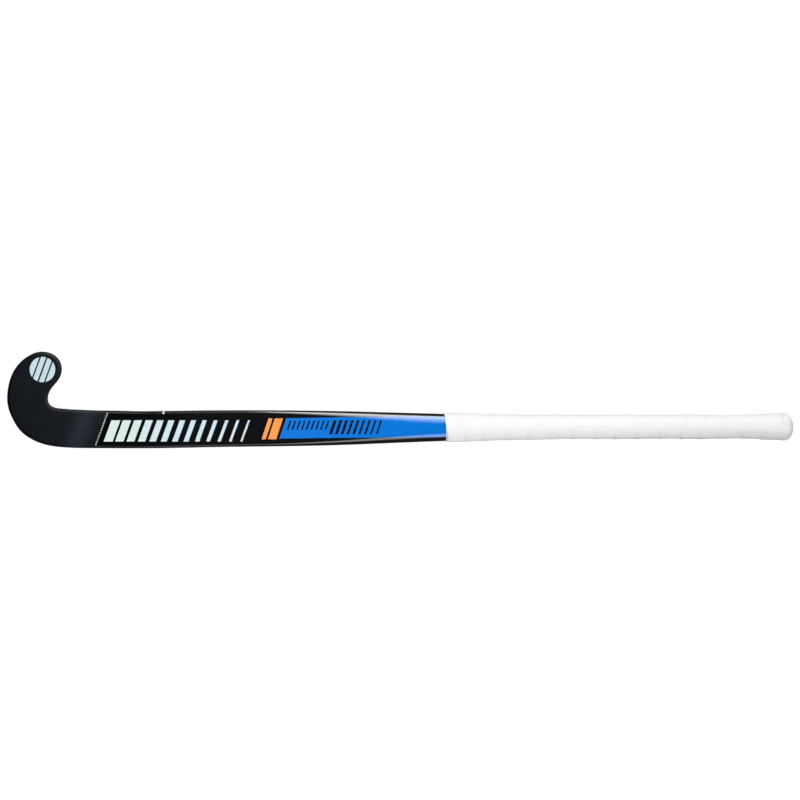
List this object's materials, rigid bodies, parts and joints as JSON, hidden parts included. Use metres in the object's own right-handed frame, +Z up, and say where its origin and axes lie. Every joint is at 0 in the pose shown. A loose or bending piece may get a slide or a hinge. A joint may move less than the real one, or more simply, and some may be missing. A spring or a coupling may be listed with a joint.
{
  "type": "indoor hockey stick",
  "caption": "Hooked composite indoor hockey stick with a flat playing face, a bowed shaft that tapers into a round handle, and a wound white grip.",
  "frame": {"origin": "middle of the footprint, on the surface that the stick lies on with its playing face up", "axes": "+X from the head to the butt, +Y toward the toe of the hook, +Z up, out of the playing face"},
  "size_m": [0.927, 0.1142, 0.0437],
  "materials": {
    "black_laminate": "matte on the head, gloss lacquer on the shaft",
    "inner_fibre": "bare moulded fibre laminate",
    "core_foam": "rigid foam",
    "plug_foam": "foam",
    "white_rubber": "matte",
    "underwrap": "adhesive underwrap",
    "white_wrap": "soft grained chamois tape",
    "blue_print": "print under gloss lacquer",
    "orange_print": "print under gloss lacquer"
  },
  "bodies": {
    "root": {"outer_laminate": "black_laminate", "head_core": "core_foam", "toe_side_tube": "inner_fibre", "heel_side_tube": "inner_fibre", "butt_plug": "plug_foam", "butt_cap": "white_rubber", "grip_underlay": "underwrap", "grip_tape": "white_wrap", "finishing_tape": "white_wrap", "blue_band": "blue_print", "orange_stripe_wide": "orange_print", "orange_stripe_narrow": "orange_print"}
  },
  "joints": []
}
